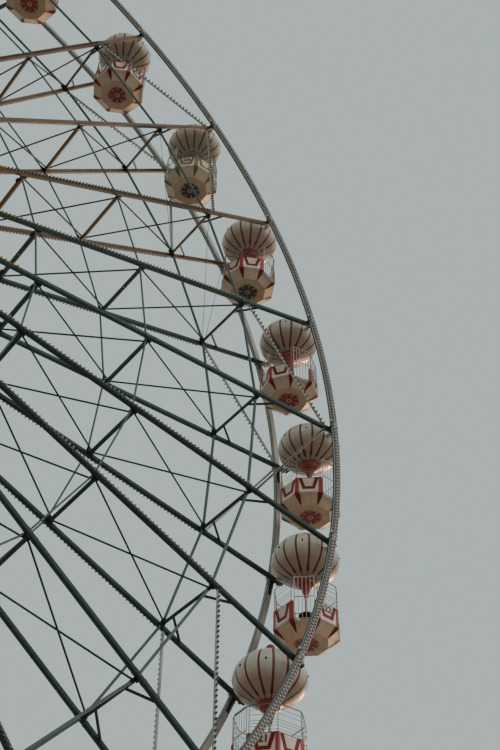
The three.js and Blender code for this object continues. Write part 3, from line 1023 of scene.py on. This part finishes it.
def rim_lamp_shape(arc, sign):
    """Two staggered rows of lamps along a third of a rim, clear of the joints."""
    shape = Shape()
    total = ARC_BAYS * RIM_LAMPS_PER_BAY
    for step in range(total):
        index = ARC_BAYS * (arc + (step + 0.5) / total) - 1.5
        if abs(index - round(index)) * STEP * RIM_RADIUS < RIM_LAMP_CLEAR:
            continue
        radius = RIM_RADIUS + (RIM_LAMP_OFFSET if step % 2 else -RIM_LAMP_OFFSET)
        shape.lamp(wheel_point(radius, index, sign * RIM_OUTBOARD), BACK * sign, "rim")
    return shape


# The hub and its towers
def flange_parts(shape, sign, phase):
    """One flange of the hub, with its boss, its gussets and its bolts."""
    facing = BACK * sign
    axes = axes_at(HUB, facing, RIGHT)
    inner, outer = FACE_Y - FLANGE_WIDTH / 2, FACE_Y + FLANGE_WIDTH / 2
    rim = FLANGE_RADIUS
    disc = [(DRUM_RADIUS, inner), (rim - 0.04, inner), (rim - 0.012, inner), (rim, inner + 0.012),
            (rim, inner + 0.03), (rim, outer - 0.03), (rim, outer - 0.012), (rim - 0.012, outer),
            (rim - 0.04, outer), (BOSS[1][0], outer)]
    shape.lathe(disc, axes, COUNT, "steel", phase * sign)
    shape.lathe([(radius, outer + height) for radius, height in BOSS], axes, 48, "steel")
    for index in range(COUNT):
        shape.bolt(wheel_point(FLANGE_BOLTS, index, sign * outer), facing, 0.02)
    for index in range(0, COUNT, 3):
        out, across = along_spoke(index + 1.5), across_spoke(index + 1.5)
        web = Matrix((out, facing, across)).transposed().to_4x4()
        outline = [(0.35, outer), (0.7, outer), (0.7, outer + 0.012), (0.36, outer + 0.085)]
        shape.plate(outline, Matrix.Translation(HUB - across * 0.009) @ web, 0.018, "steel")
        shape.bolt(HUB + out * 0.315 + facing * (outer + 0.09), facing, 0.016)


def hub_shape():
    """The hub: two flanges that carry the spokes, a ribbed drum between them and the shaft through all."""
    shape = Shape()
    for sign in (-1, 1):
        flange_parts(shape, sign, 0.5 - FIRST_ANGLE / STEP)
    axes = axes_at(HUB, BACK, RIGHT)
    drum, end = DRUM_RADIUS, FACE_Y - FLANGE_WIDTH / 2
    shape.lathe([(drum, -end), (drum, end)], axes, 48, "steel")
    for y in (-0.45, 0.45):
        ring = [(drum, y - 0.02), (0.47, y - 0.02), (0.475, y), (0.47, y + 0.02), (drum, y + 0.02)]
        shape.lathe(ring, axes, 48, "steel")
    for index in range(0, COUNT, 3):
        out = along_spoke(index + 1.5)
        ends = (HUB + out * 0.45 + BACK * y for y in (-end, end))
        shape.bar(*ends, rectangle(0.1, 0.02, 0.004), out, "steel")
    tip = BEARING["y"] + BEARING["width"] / 2 - 0.012
    core = SHAFT_RADIUS - 0.02
    half = [(SHAFT_RADIUS, tip - 0.02), (core, tip), (0, tip)]
    shape.lathe([(radius, -y) for radius, y in half[::-1]] + half, axes, 48, "zinc")
    return shape


def bearing_shape(sign):
    """A split bearing block with its cap bolts and the cover over the shaft's end."""
    shape = Shape()
    place = HUB + BACK * sign * BEARING["y"]
    length, width, height = BEARING["length"], BEARING["width"], BEARING["height"]
    for hand, cut, chamfer in ((-1, 0.0, 0.015), (1, 0.2, 0.03)):
        block = Matrix.Translation(place + UP * hand * (height / 4 + 0.004))
        shape.box(block, length - cut, width, height / 2 - 0.008, "steel", chamfer)
    shape.box(Matrix.Translation(place), length - 0.22, width - 0.02, 0.03, "fitting")
    face = width / 2
    for side in (-1, 1):
        facing = BACK * side
        axes = axes_at(place, facing, RIGHT)
        collar = [(0.33, face), (0.33, face + 0.012), (0.32, face + 0.02), (0.216, face + 0.02)]
        shape.lathe(collar, axes, 40, "steel")
        if side == sign:
            shape.lathe([(0.25, face + 0.02), (0.25, face + 0.035), (0.23, face + 0.045), (0, face + 0.045)],
                        axes, 40, "zinc")
        for x, z in circle(8, 0.285, 0.5):
            shape.bolt(place + RIGHT * x + UP * z + facing * (face + 0.02), facing, 0.015)
    for reach, rise, radius in ((0.52, height / 2, 0.032), (0.64, 0, 0.022)):
        for x in (-reach, reach):
            for y in (-0.11, 0.11):
                shape.bolt(place + Vector((x, y, rise)), UP, radius)
    return shape


def leg_shape(side, hand):
    """A box leg from the base to the bearing, with two bolted splices and a foot plate."""
    shape = Shape()
    bottom, top = BEAM["height"], HUB.z - BEARING["height"] / 2
    start = Vector((hand * FOOT["x"], side * FOOT["y"], bottom))
    end = Vector((hand * LEG_TOP_X, side * BEARING["y"], top))
    along = (end - start).normalized()
    rings = []
    for level in (bottom + 0.001, top - 0.001):
        corners = laid(square(LEG_WIDTH, 0.025), axes_at(start, along, BACK))
        rings.append([corner + along * ((level - corner.z) / along.z) for corner in corners])
    shape.loft(rings, "tower")
    for share in (1 / 3, 2 / 3):
        for facing in (-along, along):
            joint = axes_at(start + (end - start) * share + facing * 0.024, facing, BACK)
            shape.box(joint, LEG_WIDTH + 0.14, LEG_WIDTH + 0.14, 0.044, "tower", 0.006)
            for shift in (-0.17, 0, 0.17):
                for edge in (-0.248, 0.248):
                    for x, y in ((shift, edge), (edge, shift)):
                        shape.bolt(joint @ Vector((x, y, 0.022)), facing, 0.016)
    foot = start + UP * 0.018
    shape.box(Matrix.Translation(foot), 0.86, BEAM["width"] - 0.02, 0.034, "tower", 0.006)
    for x in (-0.37, 0.37):
        for y in (-0.19, 0.0, 0.19):
            shape.bolt(foot + Vector((x, y, 0.017)), UP, 0.022)
    return shape


def base_shape():
    """The base: a box beam under each tower and three cross beams bolted between them."""
    shape = Shape()
    height, width = BEAM["height"], BEAM["width"]
    for y in (-FOOT["y"], FOOT["y"]):
        shape.box(Matrix.Translation((0, y, height / 2)), BEAM["length"], width, height, "tower", 0.012)
        for x in (sign * reach for sign in (-1, 1) for reach in BEAM_WEBS):
            for hand in (-1, 1):
                web = Matrix.Translation((x, y + hand * (width / 2 - 0.007), height / 2))
                shape.box(web, 0.02, 0.012, height - 0.08, "tower", 0.002)
    reach = FOOT["y"] - width / 2
    for x in (-FOOT["x"], 0, FOOT["x"]):
        middle = Matrix.Translation((x, 0, height / 2))
        shape.box(middle, BEAM["cross"], 2 * reach, height - 0.01, "tower", 0.012)
        for hand in (-1, 1):
            plate = Vector((x, hand * (reach - 0.02), height / 2))
            shape.box(Matrix.Translation(plate), BEAM["cross"] + 0.2, 0.036, height - 0.04, "tower", 0.005)
            for across in (-0.25, 0.25):
                for rise in (-0.14, 0.0, 0.14):
                    shape.bolt(plate + Vector((across, -hand * 0.018, rise)), BACK * -hand, 0.02)
    return shape


def big_pieces():
    """The pieces of the wheel and the towers: name, shape, body, slot and the nodes that it replaces."""
    for number in range(SECTORS):
        nodes = [f"{side}_spokes_{number + 1}" for side in ("front", "rear")]
        yield f"lattice_{number + 1}", sector_shape(number), "wheel", "wheel_steel", nodes
        yield f"spoke_lamps_{number + 1}", lamp_shape(number), "wheel", "wheel_steel", []
    yield "hub_dressed", hub_shape(), "wheel", "wheel_steel", ["hub"]
    yield "base_frame_dressed", base_shape(), "structure", "tower_paint", ["base_frame"]
    for side, sign in (("front", -1), ("rear", 1)):
        for arc in range(RIM_ARCS):
            node = f"{side}_rim_{arc + 1}"
            yield f"{node}_beam", rim_shape(arc, sign), "wheel", "rim_paint", [node]
            yield f"{node}_lamps", rim_lamp_shape(arc, sign), "wheel", "rim_paint", []
        yield f"{side}_bearing_dressed", bearing_shape(sign), "structure", "wheel_steel", [f"{side}_bearing"]
        for word, hand in (("left", -1), ("right", 1)):
            node = f"{side}_{word}_leg"
            yield f"{node}_dressed", leg_shape(sign, hand), "structure", "tower_paint", [node]


def add_big_pieces():
    for name, shape, body, slot, nodes in big_pieces():
        piece = shape.object(name, PAINTS)
        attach(piece, body)
        if nodes:
            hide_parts(*nodes)


def add_stage():
    mesh = bpy.data.meshes.new("floor")
    corners = ((-1, -1), (1, -1), (1, 1), (-1, 1))
    mesh.from_pydata([(x * FLOOR_REACH, y * FLOOR_REACH, FLOOR_Z) for x, y in corners], [], [[0, 1, 2, 3]])
    mesh.materials.append(floor_material("studio_floor", (460, 455, 440)))
    put(mesh, "floor")
    world = bpy.data.worlds.new("studio")
    bpy.context.scene.world = world
    world.use_nodes = True
    background = world.node_tree.nodes["Background"]
    background.inputs["Color"].default_value = (0.49, 0.59, 0.575, 1)
    background.inputs["Strength"].default_value = 1.0


def add_sun(name, tilt, turn, energy, color, angle):
    light = bpy.data.lights.new(name, "SUN")
    light.energy = energy
    light.color = color
    light.angle = radians(angle)
    put(light, name).rotation_euler = (radians(tilt), 0, radians(turn))


def add_camera():
    data = bpy.data.cameras.new("camera")
    data.sensor_fit = "VERTICAL"
    data.sensor_height = SENSOR_HEIGHT
    data.lens = CAMERA_LENS
    data.clip_end = 500
    camera = put(data, "camera", CAMERA_PLACE)
    turn = Matrix.Rotation(radians(-CAMERA_AZIMUTH), 3, "Z")
    tilt = Matrix.Rotation(radians(90 + CAMERA_PITCH), 3, "X")
    roll = Matrix.Rotation(radians(CAMERA_ROLL), 3, "Z")
    camera.rotation_euler = (turn @ tilt @ roll).to_euler()
    bpy.context.scene.camera = camera


add_camera()
add_gondolas()
add_big_pieces()
add_stage()
add_sun("key", 62, 25, 0.8, (1.0, 0.95, 0.88), 30)
add_sun("low_warm", 83, 118, 1.9, (1.0, 0.56, 0.28), 8)
